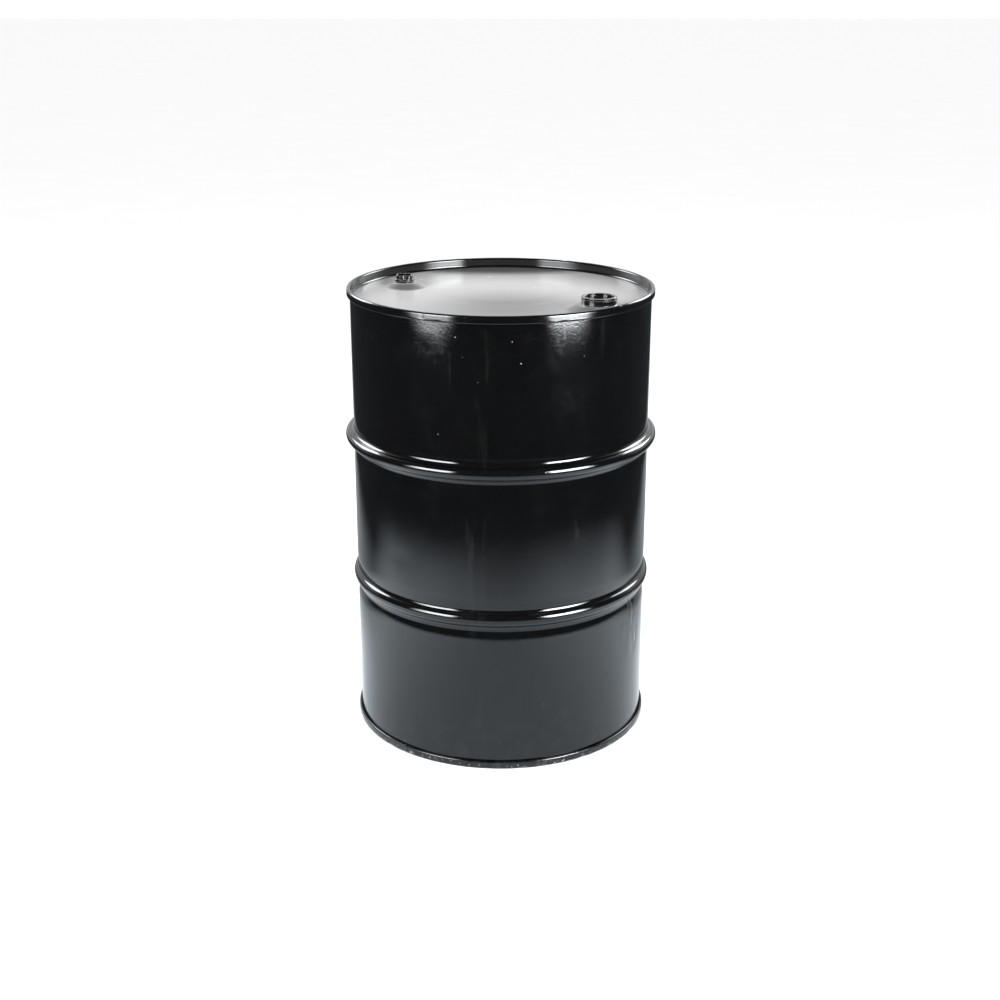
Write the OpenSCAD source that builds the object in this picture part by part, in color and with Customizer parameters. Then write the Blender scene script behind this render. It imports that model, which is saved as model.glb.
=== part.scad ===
// Tight-head steel drum of about 208 litres: a rolled body with two hoops, two seamed heads,
// and two screw plugs in flanges that are crimped into raised seats in the top head.
// The origin is the centre of the foot, +Z is up, and the large plug is on the +X side.

/* [Body] */
// Height over both chimes
drum_h = 876; // [720:1:1100]
// Bore of the rolled body
body_id = 571.5; // [470:0.5:700]
// Thickness of the body sheet
body_t = 1; // [0.8:0.05:1.5]
// Direction of the seam where the body's sheet is welded, as an angle about +Z from +X
weld_angle = 97; // [-180:1:180]

/* [Rolling hoops] */
// Height of the upper hoop's crest above the foot
upper_hoop_z = 591; // [400:1:640]
// How far the upper hoop stands out from the body
upper_hoop_rise = 15.5; // [4:0.25:18]
// Height of the lower hoop's crest above the foot
lower_hoop_z = 306.5; // [120:0.5:330]
// How far the lower hoop stands out, which is the flatter of the two
lower_hoop_rise = 8; // [4:0.25:18]
// Width of a hoop along the body, from neck to neck
hoop_w = 44; // [42:1:64]
// Share of a hoop's width that its convex crest takes
crest_share = 0.55; // [0.4:0.05:0.7]
// Depth of the neck that the roller presses beside each hoop
hoop_neck = 2; // [0.5:0.1:2.5]
// Angle of the slope from a neck back out to the body
neck_slope = 7; // [5:0.5:12]

/* [Seams] */
// Height of a chime, from its crest to the lowest fold
chime_h = 15; // [13:0.5:20]
// How much the crest of a chime is worn flat
chime_flat = 0.3; // [0.1:0.05:0.6]
// Length of the head's innermost fold
tip_l = 4; // [2:0.5:5]
// Length of the bead of sealing compound in a seam
bead_l = 2; // [1:0.25:3]
// Film between the folds of a seam
fold_gap = 0.05; // [0.03:0.01:0.1]

/* [Heads] */
// Thickness of the head sheet
head_t = 1.2; // [0.9:0.05:1.6]
// Depth of a head's flat middle below the crest of its chime
head_depth = 26; // [24:0.5:40]
// Width of the dished ring between a head's wall and its flat middle
dish_w = 99.5; // [80:0.5:140]
// Radius of curvature of the dished ring between the middle and the wall
dish_r = 650; // [500:5:900]
// Radius of the corner between the dished ring and the wall
corner_r = 5; // [3:0.5:10]

/* [Bungs] */
// Direction of the large bung, as an angle about +Z from +X
bung_angle = -30; // [-180:1:180]
// Height of the raised seats above the head's flat middle
seat_h = 9.5; // [7:0.5:12]
// Radial clearance of a plug in its flange
thread_clear = 0.05; // [0.02:0.01:0.1]
// Clearance between a gasket's bore and what passes through it
gasket_clear = 0.35; // [0.3:0.05:0.8]
// Thickness of the gasket between a flange and the head
flange_gasket_t = 1.2; // [0.8:0.1:2]
// Width of the gasket between a flange and the head
flange_gasket_w = 6; // [4:0.5:8]
// Thickness of a flange's base plate
plate_t = 3; // [2:0.5:4]
// Clearance between the corners of that plate and the seat's sloping side
plate_clear = 0.5; // [0.3:0.1:1.5]
// Width of the flat land between a collar and the sloping side of its seat
seat_land = 7; // [6.5:0.5:10]
// Thickness of the lip that holds a flange in the head's collar
lip_t = 1.5; // [1:0.1:2]
// How far that lip reaches over the collar
lip_over = 0.4; // [0.2:0.1:1]
// Thickness of a plug's gasket
plug_gasket_t = 1.5; // [1:0.1:2]
// Thickness of a plug's rim
rim_t = 3; // [2.5:0.25:4]
// Thickness of a plug's floor
floor_t = 2; // [1.5:0.25:3]

/* [Large bung] */
// Distance of the large bung's axis from the wall of the recess
large_inset = 75.5; // [72:0.5:90]
// Mean diameter of the large thread
large_thread_d = 58.1; // [48:0.1:70]
// Wall of the large flange's neck
large_neck_t = 2.6; // [2:0.1:3]
// Height of the large flange's lip above its seat
large_neck_h = 10; // [5:0.5:12]
// Width of the large seat's sloping side
large_slope_w = 22; // [14:1:24]
// Length of the large plug below its rim
large_plug_l = 13; // [8:0.5:16]
// How far the large plug's rim reaches past its thread
large_rim_w = 4.2; // [3.5:0.1:5]
// Wall of the large plug
large_plug_wall = 2.6; // [2:0.1:3.5]
// Number of drive lugs inside the large plug
lug_count = 6; // [4:1:8]
// Radius of a drive lug
lug_r = 5; // [3:0.5:6]
// How far a drive lug stands in from the plug's wall
lug_rise = 3.4; // [2:0.1:4]
// Depth of the lugs' tops below the plug's rim
lug_drop = 3; // [1:0.5:5]

/* [Small bung] */
// Distance of the small bung's axis from the wall of the recess
small_inset = 65.5; // [50:0.5:80]
// Mean diameter of the small thread
small_thread_d = 25.3; // [23:0.1:28]
// Wall of the small flange's neck
small_neck_t = 2.2; // [2:0.1:3]
// Height of the small flange's lip above its seat
small_neck_h = 3; // [2.5:0.5:6]
// Width of the small seat's sloping side
small_slope_w = 18; // [10:1:20]
// Length of the small plug below its rim
small_plug_l = 9; // [6:0.5:12]
// How far the small plug's rim reaches past its thread
small_rim_w = 6.85; // [5:0.05:9]
// Wall of the small plug
small_plug_wall = 2.2; // [2:0.1:3]
// Height of the small plug's four-lobed crown above its rim
crown_h = 7.3; // [4:0.1:8]
// Distance of the crown from the edge of the small plug's rim
crown_inset = 1.3; // [1:0.1:3]
// Distance of the centre of each of the crown's lobes from the plug's axis
lobe_offset = 8; // [6:0.1:9]
// Wall of the crown
crown_wall = 2; // [1.5:0.1:3]

/* [Hidden] */
$fn = 180;

// Overshoot of a cut past the face that it opens
over = 1;
black_paint = [0.03, 0.03, 0.035];
compound_green = [0.30, 0.36, 0.28];
rubber_black = [0.06, 0.06, 0.06];

// Radii of the seven layers of a seam, from the recess outwards
body_r = body_id / 2;
wall_in = body_r - fold_gap - head_t;
body_out = body_r + body_t;
hook_in = body_out + fold_gap;
hook_out = hook_in + head_t;
rise_in = hook_out + fold_gap;
rise_out = rise_in + body_t;
tip_in = rise_out + fold_gap;
tip_out = tip_in + head_t;
fall_in = tip_out + fold_gap;
fall_out = fall_in + body_t;
skin_in = fall_out + fold_gap;
chime_r = skin_in + head_t;

// Centres of a seam's bends: the crest, and the turn at its lowest fold
crest_bend_r = (chime_r - wall_in) / 2;
crest_x = wall_in + crest_bend_r;
crest_d = crest_bend_r - chime_flat;
foot_bend_r = (chime_r - hook_in) / 2;
foot_x = hook_in + foot_bend_r;
foot_d = chime_h - foot_bend_r;

// Centres of the arcs of a head's section, as depths below the crest
flat_r = wall_in - dish_w;
dish_d = head_depth - dish_r;
corner_x = wall_in - corner_r;
dish_angle = asin((corner_x - flat_r) / (dish_r - corner_r));
corner_d = dish_d + (dish_r - corner_r) * cos(dish_angle);

// Places of the bungs' axes, and heights of the flanges' plates and lips
large_r = wall_in - large_inset;
small_r = wall_in - small_inset;
flat_z = drum_h - head_depth;
plate_top_z = flat_z + seat_h - head_t - flange_gasket_t;
large_lip_z = flat_z + seat_h + large_neck_h;
small_lip_z = flat_z + seat_h + small_neck_h;

// Radii of the flanges' necks, and of the seats' tops around the collars
large_neck_r = large_thread_d / 2 + thread_clear + large_neck_t;
small_neck_r = small_thread_d / 2 + thread_clear + small_neck_t;
large_top_r = large_neck_r + fold_gap + head_t + seat_land;
small_top_r = small_neck_r + fold_gap + head_t + seat_land;
large_rim_r = large_thread_d / 2 + large_rim_w;
small_rim_r = small_thread_d / 2 + small_rim_w;

// A flat strip of sheet in a section, from depth d1 to depth d2
module strip(x1, x2, d1, d2) {
    translate([x1, -d2])
        square([x2 - x1, d2 - d1]);
}

// A half-turn of sheet in a section, about a point at depth d, towards the crest or the foot
module turn(x, d, r, t, to_crest) {
    translate([x, -d])
        intersection() {
            difference() {
                circle(r);
                circle(r - t);
            }
            translate([-r, to_crest ? 0 : -r])
                square([2 * r, r]);
        }
}

// The head's folds in a seam, with the crest at depth 0
module head_folds() {
    intersection() {
        turn(crest_x, crest_d, crest_bend_r, head_t, true);
        strip(wall_in, chime_r, 0, crest_d + over);
    }
    strip(skin_in, chime_r, crest_d, foot_d);
    turn(foot_x, foot_d, foot_bend_r, head_t, false);
    strip(hook_in, hook_out, crest_d, foot_d);
    turn(crest_x, crest_d, crest_x - hook_in, head_t, true);
    strip(tip_in, tip_out, crest_d, crest_d + tip_l);
}

// The body's folds in a seam, with the crest at depth 0
module body_folds() {
    turn(crest_x, crest_d, crest_x - body_r, body_t, true);
    strip(fall_in, fall_out, crest_d, foot_d);
    turn(foot_x, foot_d, foot_x - rise_in, body_t, false);
    strip(rise_in, rise_out, crest_d + bead_l, foot_d);
}

// The bead of sealing compound, on the end of the body's fold and between the head's folds
module compound_bead() {
    strip(rise_in, rise_out, crest_d, crest_d + bead_l);
}

// The space above a head, with every face set back by t
module head_recess(t) {
    strip(0, wall_in + t, -over, corner_d);
    strip(0, flat_r, corner_d, head_depth + t);
    translate([corner_x, -corner_d])
        circle(corner_r + t);
    intersection() {
        translate([flat_r, -dish_d])
            circle(dish_r + t, $fn = 1440);
        strip(flat_r, flat_r + (dish_r + t) * sin(dish_angle), corner_d - over, head_depth + t);
    }
}

// A section turned about the drum's axis, starting from the direction of the body's weld
module spun() {
    rotate([0, 0, weld_angle])
        rotate_extrude()
            children();
}

// What lies below a head's upper face, with that face set back by t
module under_head(t) {
    spun()
        difference() {
            strip(0, wall_in + head_t + t, crest_d, 2 * head_depth + t);
            head_recess(t);
        }
}

// What follows, stood at height z at a distance r from the drum's axis
module at_bung(r, angle, z) {
    translate([r * cos(angle), r * sin(angle), z])
        children();
}

module at_large(z) {
    at_bung(large_r, bung_angle, z)
        children();
}

module at_small(z) {
    at_bung(small_r, bung_angle + 180, z)
        children();
}

// What lies below the top head's upper face and its two seats, with that face set back by t
module seated_head(t) {
    translate([0, 0, drum_h])
        under_head(t);
    at_large(flat_z - t)
        cylinder(h = seat_h, r1 = large_top_r + large_slope_w, r2 = large_top_r);
    at_small(flat_z - t)
        cylinder(h = seat_h, r1 = small_top_r + small_slope_w, r2 = small_top_r);
}

// A plain ring that stands on z = 0
module ring(r_in, r_out, h) {
    difference() {
        cylinder(h = h, r = r_out);
        translate([0, 0, -over])
            cylinder(h = h + 2 * over, r = r_in);
    }
}

// Angle of a hoop's flanks, where its convex crest meets its concave fillets
function flank_angle(rise) = 2 * atan(2 * (rise + hoop_neck) / hoop_w);

// A hoop's bulge in the body's section, filled to the axis, with its face set back by t
module bulge(rise, t) {
    flank = flank_angle(rise);
    arc = crest_share * hoop_w / 2 / sin(flank) - t;
    centre = body_out + rise - t - arc;
    flank_x = centre + arc * cos(flank);
    flank_y = arc * sin(flank);
    foot_x = body_out - hoop_neck - t;
    foot_y = hoop_w / 2;
    polygon([[0, -foot_y], [foot_x, -foot_y], [flank_x, -flank_y],
             [flank_x, flank_y], [foot_x, foot_y], [0, foot_y]]);
    translate([centre, 0])
        circle(arc);
}

// The hollows that leave the fillets, necks and slopes beside a hoop's crest, set back by t
module fillets(rise, t) {
    arc = (1 - crest_share) * hoop_w / 2 / sin(flank_angle(rise)) + t;
    centre = body_out - hoop_neck - t + arc;
    slope_x = centre - arc * cos(neck_slope);
    slope_y = hoop_w / 2 + arc * sin(neck_slope);
    end_x = body_out + over;
    end_y = slope_y + (end_x - slope_x) / tan(neck_slope);
    for (side = [-1, 1]) {
        translate([centre, side * hoop_w / 2])
            circle(arc);
        polygon([[slope_x, side * slope_y], [end_x, side * slope_y], [end_x, side * end_y]]);
    }
}

// The body's section filled to the axis, with its face set back by t
module body_fill(t) {
    difference() {
        union() {
            square([body_out - t, drum_h]);
            translate([0, upper_hoop_z])
                bulge(upper_hoop_rise, t);
            translate([0, lower_hoop_z])
                bulge(lower_hoop_rise, t);
        }
        translate([0, upper_hoop_z])
            fillets(upper_hoop_rise, t);
        translate([0, lower_hoop_z])
            fillets(lower_hoop_rise, t);
    }
}

// The body's section up to the start of its folds
module wall_section() {
    intersection() {
        difference() {
            body_fill(0);
            body_fill(body_t);
        }
        translate([0, crest_d])
            square([body_out + upper_hoop_rise + over, drum_h - 2 * crest_d]);
    }
}

module body_shell() {
    color(black_paint)
        spun() {
            wall_section();
            translate([0, drum_h])
                body_folds();
            mirror([0, 1])
                body_folds();
        }
}

// The collar that the head's sheet forms around a flange's neck
module collar(neck_r, neck_h) {
    ring(neck_r + fold_gap, neck_r + fold_gap + head_t, head_t + neck_h - lip_t);
}

module top_head() {
    color(black_paint) {
        translate([0, 0, drum_h])
            spun()
                head_folds();
        difference() {
            seated_head(0);
            seated_head(head_t);
            at_large(flat_z)
                cylinder(h = seat_h + over, r = large_neck_r + fold_gap);
            at_small(flat_z)
                cylinder(h = seat_h + over, r = small_neck_r + fold_gap);
        }
        at_large(flat_z + seat_h - head_t)
            collar(large_neck_r, large_neck_h);
        at_small(flat_z + seat_h - head_t)
            collar(small_neck_r, small_neck_h);
    }
}

module bottom_head() {
    color(black_paint)
        mirror([0, 0, 1]) {
            spun()
                head_folds();
            difference() {
                under_head(0);
                under_head(head_t);
            }
        }
}

module top_seam_compound() {
    color(compound_green)
        translate([0, 0, drum_h])
            spun()
                compound_bead();
}

module bottom_seam_compound() {
    color(compound_green)
        mirror([0, 0, 1])
            spun()
                compound_bead();
}

// A flange: an eight-sided plate under its seat, a neck through the head's collar, and a crimped lip
module flange(neck_r, neck_t, top_r, slope_w, lip_z) {
    plate_r = top_r + flange_gasket_t * slope_w / seat_h - plate_clear;
    lip_r = neck_r + fold_gap + head_t + lip_over;
    neck_h = lip_z - plate_top_z;
    difference() {
        union() {
            translate([0, 0, -plate_t])
                rotate([0, 0, 22.5])
                    cylinder(h = plate_t, r = plate_r, $fn = 8);
            cylinder(h = neck_h, r = neck_r);
            translate([0, 0, neck_h - lip_t])
                round_disc(lip_r, lip_t);
        }
        translate([0, 0, -plate_t - over])
            cylinder(h = plate_t + neck_h + 2 * over, r = neck_r - neck_t);
    }
}

// A disc of radius r and height h with a rounded edge
module round_disc(r, h) {
    rotate_extrude() {
        square([r - h / 2, h]);
        translate([r - h / 2, h / 2])
            circle(h / 2);
    }
}

module flange_gasket(neck_r) {
    ring(neck_r + gasket_clear, neck_r + gasket_clear + flange_gasket_w, flange_gasket_t);
}

module plug_gasket(thread_d, rim_r) {
    ring(thread_d / 2 + gasket_clear, rim_r - gasket_clear, plug_gasket_t);
}

// A plug's round part, with the underside of its rim on z = 0 and an open cup from the top
module plug_blank(thread_d, rim_r, plug_l, wall) {
    difference() {
        union() {
            translate([0, 0, -plug_l])
                cylinder(h = plug_l + rim_t / 2, r = thread_d / 2);
            round_disc(rim_r, rim_t);
        }
        translate([0, 0, floor_t - plug_l])
            cylinder(h = plug_l + rim_t, r = thread_d / 2 - wall);
    }
}

module large_flange() {
    color(black_paint)
        at_large(plate_top_z)
            flange(large_neck_r, large_neck_t, large_top_r, large_slope_w, large_lip_z);
}

module large_flange_gasket() {
    color(rubber_black)
        at_large(plate_top_z)
            flange_gasket(large_neck_r);
}

module large_plug_gasket() {
    color(rubber_black)
        at_large(large_lip_z)
            plug_gasket(large_thread_d, large_rim_r);
}

// The drive lugs of the large plug, which stand in from the wall of its cup
module lugs(cup_r) {
    root_z = floor_t / 2 - large_plug_l;
    intersection() {
        translate([0, 0, root_z])
            cylinder(h = rim_t - lug_drop - root_z, r = cup_r + large_plug_wall / 2);
        for (i = [0 : lug_count - 1])
            rotate([0, 0, i * 360 / lug_count])
                translate([cup_r - lug_rise + lug_r, 0, -large_plug_l])
                    cylinder(h = large_plug_l + rim_t, r = lug_r);
    }
}

module large_plug() {
    color(black_paint)
        at_large(large_lip_z + plug_gasket_t) {
            plug_blank(large_thread_d, large_rim_r, large_plug_l, large_plug_wall);
            lugs(large_thread_d / 2 - large_plug_wall);
        }
}

module small_flange() {
    color(black_paint)
        at_small(plate_top_z)
            flange(small_neck_r, small_neck_t, small_top_r, small_slope_w, small_lip_z);
}

module small_flange_gasket() {
    color(rubber_black)
        at_small(plate_top_z)
            flange_gasket(small_neck_r);
}

module small_plug_gasket() {
    color(rubber_black)
        at_small(small_lip_z)
            plug_gasket(small_thread_d, small_rim_r);
}

// The four lobes of the small plug's crown, each of radius r
module crown_lobes(r, h) {
    for (i = [0 : 3])
        rotate([0, 0, 45 + i * 90])
            translate([lobe_offset, 0, 0])
                cylinder(h = h, r = r);
}

module small_plug() {
    lobe_r = small_rim_r - crown_inset - lobe_offset;
    color(black_paint)
        at_small(small_lip_z + plug_gasket_t) {
            plug_blank(small_thread_d, small_rim_r, small_plug_l, small_plug_wall);
            difference() {
                translate([0, 0, rim_t / 2])
                    crown_lobes(lobe_r, crown_h + rim_t / 2);
                translate([0, 0, rim_t])
                    crown_lobes(lobe_r - crown_wall, crown_h + over);
                cylinder(h = rim_t + over, r = small_thread_d / 2 - small_plug_wall);
            }
        }
}

body_shell();
top_head();
bottom_head();
top_seam_compound();
bottom_seam_compound();
large_flange();
large_flange_gasket();
large_plug();
large_plug_gasket();
small_flange();
small_flange_gasket();
small_plug();
small_plug_gasket();
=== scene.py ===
import math

import bpy
import numpy as np
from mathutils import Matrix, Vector
from mathutils.geometry import delaunay_2d_cdt

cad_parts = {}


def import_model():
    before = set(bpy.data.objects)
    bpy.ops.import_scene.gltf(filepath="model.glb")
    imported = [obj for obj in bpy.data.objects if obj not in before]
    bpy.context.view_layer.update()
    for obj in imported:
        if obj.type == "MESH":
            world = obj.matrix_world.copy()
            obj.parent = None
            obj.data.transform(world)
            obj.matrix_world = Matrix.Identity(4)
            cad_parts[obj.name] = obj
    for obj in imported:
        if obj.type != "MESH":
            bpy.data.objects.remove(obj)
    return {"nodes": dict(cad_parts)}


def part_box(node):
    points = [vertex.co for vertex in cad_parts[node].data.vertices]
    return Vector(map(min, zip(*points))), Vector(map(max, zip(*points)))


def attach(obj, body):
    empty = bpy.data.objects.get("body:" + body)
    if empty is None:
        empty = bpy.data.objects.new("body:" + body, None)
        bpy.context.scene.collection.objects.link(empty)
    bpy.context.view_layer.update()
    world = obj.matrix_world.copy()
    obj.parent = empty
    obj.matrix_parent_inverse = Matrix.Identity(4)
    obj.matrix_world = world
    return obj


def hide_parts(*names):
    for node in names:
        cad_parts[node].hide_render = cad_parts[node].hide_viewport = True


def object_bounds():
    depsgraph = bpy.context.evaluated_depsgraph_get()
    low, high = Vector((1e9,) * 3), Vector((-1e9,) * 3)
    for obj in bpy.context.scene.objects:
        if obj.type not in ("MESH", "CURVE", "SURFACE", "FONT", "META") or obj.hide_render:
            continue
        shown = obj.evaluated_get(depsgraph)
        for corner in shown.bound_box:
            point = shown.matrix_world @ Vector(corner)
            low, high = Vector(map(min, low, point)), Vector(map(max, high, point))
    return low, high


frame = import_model()
cad_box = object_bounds()

MM = 0.001

# ---------------------------------------------------------------- sizes, in millimetres

drum_h = (cad_box[1][2] - cad_box[0][2]) / MM
body_in = 285.75
body_t = 1.0
body_out = body_in + body_t
head_t = 1.2
# Gap between two pieces that are fitted together
film = 0.05
chime_h = 15.0
# How much of the top chime's round crest is cut off flat
chime_flat = 0.3
head_depth = 26.0
flat_r = 185.0
dish_r = 650.0
corner_r = 5.0
seat_h = 9.5
# A hoop's crest height, its rise, the depth of its necks and the turn of its slopes in degrees
upper_hoop = (591.0, 15.5, 1.2, 6.0)
lower_hoop = (306.5, 7.5, 2.8, 12.5)
# From a hoop's crest to its neck below and above it, and the share of that which is convex
hoop_below = 24.0
hoop_above = 17.5
crest_share = 0.55
weld_angle = math.radians(97)
weld_w = 2.6
weld_rise = 0.22
# A shallow crown in the top head, behind its middle: height, centre, radius and edge width
bulge = 0.55
bulge_at = (5, 81)
bulge_r = 127
bulge_w = 46

# Faces of the sheets through a chime, from the inside of the drum outwards
wall_in = body_in - film - head_t
hook_in = body_out + film
hook_out = hook_in + head_t
rise_in = hook_out + film
rise_out = rise_in + body_t
tip_in = rise_out + film
tip_out = tip_in + head_t
fall_in = tip_out + film
fall_out = fall_in + body_t
skin_in = fall_out + film
chime_r = skin_in + head_t
crest_x = (wall_in + chime_r) / 2
crest_bend = (chime_r - wall_in) / 2
crest_z = drum_h - crest_bend + chime_flat
foot_x = (hook_in + chime_r) / 2
foot_bend = (chime_r - hook_in) / 2
foot_z = drum_h - chime_h + foot_bend
flat_z = drum_h - head_depth
dish_z = flat_z + dish_r
dish_end = math.asin((wall_in - corner_r - flat_r) / (dish_r - corner_r))
corner_x = wall_in - corner_r
corner_z = dish_z - (dish_r - corner_r) * math.cos(dish_end)
panel_r = flat_r + dish_r * math.sin(dish_end)


def centre_of(node):
    low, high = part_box(node)
    return (low.x + high.x) / 2 / MM, (low.y + high.y) / 2 / MM


large_c = centre_of("large_plug")
small_c = centre_of("small_plug")

# Threads: mean diameter, pitch, and least and greatest radius in the flange and on the plug
large_thread_d = 58.1
large_pitch = 2.309
large_bore_thread = (28.42, 29.80)
large_plug_thread = (28.33, 29.72)
small_thread_d = 25.3
small_pitch = 1.814
small_bore_thread = (12.15, 13.25)
small_plug_thread = (12.06, 13.17)

# Necks of the flanges, the head's collars and seats round them, lips, plates and seals
large_neck_r = large_thread_d / 2 + film + 2.6
small_neck_r = small_thread_d / 2 + film + 2.2
large_collar_r = large_neck_r + film + head_t
small_collar_r = small_neck_r + film + head_t
large_top_r = large_collar_r + 7
small_top_r = small_collar_r + 7
large_slope_w = 22.0
small_slope_w = 18.0
seat_z = flat_z + seat_h
lip_t = 1.5
large_lip_z = seat_z + 10
small_lip_z = seat_z + 3
plate_z = seat_z - head_t - 1.2
plate_t = 3.0
seal_t = 1.5
fillet_r = 2.2

# ---------------------------------------------------------------- meshes


class Mesh:
    """Collects grids of points, with a normal for each, into one object."""

    def __init__(self):
        self.points, self.normals, self.faces, self.count = [], [], [], 0

    def add(self, points, normals, faces):
        self.points.append(points.reshape(-1, 3))
        self.normals.append(normals.reshape(-1, 3))
        self.faces.extend((np.asarray(faces) + self.count).tolist())
        self.count += len(self.points[-1])

    def grid(self, points, normals, wrap=True):
        rows, cols = points.shape[:2]
        index = np.arange(rows * cols).reshape(rows, cols)
        nxt = np.roll(index, -1, axis=1) if wrap else index[:, 1:]
        cur = index if wrap else index[:, :-1]
        quads = np.stack([cur[:-1], nxt[:-1], nxt[1:], cur[1:]], axis=-1).reshape(-1, 4)
        self.add(points, normals, quads)

    def build(self, name, material, body, slot, *nodes):
        mesh = bpy.data.meshes.new(name)
        points = np.concatenate(self.points) * MM
        points[:, 2] = np.maximum(points[:, 2], 0)
        normals = np.concatenate(self.normals)
        mesh.from_pydata(points.tolist(), [], self.faces)
        mesh.update()
        mesh.shade_smooth()
        mesh.normals_split_custom_set_from_vertices(normals.tolist())
        mesh.materials.append(material)
        piece = bpy.data.objects.new(name, mesh)
        bpy.context.scene.collection.objects.link(piece)
        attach(piece, body)
        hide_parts(*nodes)
        return piece


def unit(v):
    return v / np.maximum(np.linalg.norm(v, axis=-1, keepdims=True), 1e-12)


def arc(x, z, r, start, end, steps):
    a = np.radians(np.linspace(start, end, steps + 1))
    return np.stack([x + r * np.cos(a), z + r * np.sin(a)], axis=-1)


def line(p, q, steps=1):
    """A straight run, with extra points close to its ends so that its shading stays flat."""
    length = math.dist(p, q)
    near = min(0.4, length / 6) / length
    t = np.unique(np.concatenate([[0, near, 1 - near, 1], np.linspace(0, 1, steps + 1)]))
    return np.asarray(p) + np.outer(t, np.subtract(q, p))


def chain(*runs):
    points = [np.asarray(runs[0], float)]
    for run in runs[1:]:
        run = np.asarray(run, float)
        start = 1 if np.allclose(run[0], points[-1][-1], atol=1e-6) else 0
        points.append(run[start:])
    return np.concatenate(points)


def profile_normals(points):
    steps = unit(np.diff(points, axis=0))
    along = unit(np.concatenate([steps[:1], steps[:-1] + steps[1:], steps[-1:]]))
    return np.stack([along[:, 1], -along[:, 0]], axis=-1)


def turned(count, extra=()):
    """Angles of a full turn, closer together round the extra ones."""
    base = np.linspace(0, 2 * math.pi, count, endpoint=False)
    return np.unique(np.concatenate([base, np.mod(extra, 2 * math.pi)]))


def swept(points, theta):
    """A chain of (radius, height) at every angle of a turn."""
    return np.stack([np.outer(points[:, 0], np.cos(theta)), np.outer(points[:, 0], np.sin(theta)),
                     np.outer(points[:, 1], np.ones_like(theta))], -1)


def revolve(mesh, points, theta, bump=None, centre=(0, 0)):
    """Turns a chain of (radius, height) about an axis. Its outer side is on the right of its run."""
    faced = profile_normals(points)
    spots, out = swept(points, theta), swept(faced, theta)
    if bump:
        run = swept(np.stack([-faced[:, 1], faced[:, 0]], -1), theta)
        side = np.stack([-np.sin(theta), np.cos(theta), np.zeros_like(theta)], -1)
        spots, out = bumped(spots, out, run, np.broadcast_to(side, spots.shape), bump)
    mesh.grid(spots + np.array([*centre, 0]), out)


def bumped(spots, out, run, side, bump):
    """Points moved out by a bump, and normals tilted to suit it."""
    step = 0.2
    slope_run = (bump(spots + step * run) - bump(spots - step * run)) / (2 * step)
    slope_side = (bump(spots + step * side) - bump(spots - step * side)) / (2 * step)
    moved = spots + bump(spots)[..., None] * out
    return moved, unit(out - slope_run[..., None] * run - slope_side[..., None] * side)


def loft(mesh, spots):
    """A grid of rings whose radius may change round the turn. Its outer side is on the right."""
    steps = unit(np.diff(spots, axis=0))
    along = unit(np.concatenate([steps[:1], steps[:-1] + steps[1:], steps[-1:]]))
    ahead = unit(np.roll(spots, -1, axis=1) - spots)
    round_ = unit(ahead + np.roll(ahead, 1, axis=1))
    mesh.grid(spots, unit(np.cross(round_, along)))


def turned_from(turn, angle):
    """How far a direction is turned from an angle, between half a turn back and half a turn on."""
    return np.mod(turn - angle + math.pi, 2 * math.pi) - math.pi


def azimuth(degrees):
    """The angle about +Z of an azimuth, which is counted from -Y towards +X."""
    return math.radians(degrees - 90)


def away(x, y, centre):
    return np.hypot(x - centre[0], y - centre[1])


def smooth(t):
    t = np.clip(t, 0, 1)
    return t * t * (3 - 2 * t)


def soft_ramp(t, w):
    """0 below 0, 1 above 1, straight between, with both corners rounded over a width of w."""
    def soft(v):
        return np.where(v < -w, 0, np.where(v > w, v, (v + w) ** 2 / (4 * w)))
    return soft(t) - soft(t - 1)


def soft_max(a, b, w):
    d = np.clip(0.5 + 0.5 * (a - b) / w, 0, 1)
    return b + (a - b) * d + w * d * (1 - d)


# ---------------------------------------------------------------- body


def hoop_half(rise, neck, slope_turn, half_w):
    """Half of a hoop's outer face, from the body up to its crest at height 0."""
    flank = 2 * math.degrees(math.atan((rise + neck) / half_w))
    sine = math.sin(math.radians(flank))
    crest = crest_share * half_w / sine
    fillet = (1 - crest_share) * half_w / sine
    turn = math.radians(slope_turn)
    slope = neck / (1 - math.cos(turn)) - fillet
    reach = half_w + (fillet + slope) * math.sin(turn)
    return chain(arc(body_out - slope, -reach, slope, 0, slope_turn, 5),
                 arc(body_out - neck + fillet, -half_w, fillet, 180 + slope_turn, 180 - flank, 11),
                 arc(body_out + rise - crest, 0, crest, -flank, 0, 12))


def hoop_run(z, rise, neck, slope_turn):
    """The outer face of a hoop, with its necks and slopes, from below to above."""
    below = hoop_half(rise, neck, slope_turn, hoop_below)
    above = hoop_half(rise, neck, slope_turn, hoop_above)[::-1] * (1, -1)
    return chain(below, above) + (0, z)


def body_waves(p):
    """Low waves of the rolled sheet, its dents and its weld, as a height over the true face."""
    turn = np.arctan2(p[..., 1], p[..., 0])
    z = p[..., 2]
    inner = smooth((z - 16) / 40) * smooth((drum_h - 16 - z) / 40)
    wave = 0.10 * np.cos(5 * turn + 0.9 + z / 210) + 0.07 * np.cos(11 * turn - z / 95)
    wave += 0.05 * np.cos(23 * turn + z / 61 + 1.3) + 0.04 * np.cos(z / 23 + 3 * turn)
    height = wave * inner
    for way, dent_z, half_w, half_h, depth, lean in dents:
        u = (turned_from(turn, azimuth(way)) * body_out + lean * (z - dent_z)) / half_w
        v = (z - dent_z) / half_h
        height = height - depth * np.exp(-(u * u + v * v)) * inner
    across = turned_from(turn, weld_angle) * body_out / weld_w
    return height + weld_rise * np.exp(-across ** 4) * inner


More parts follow.
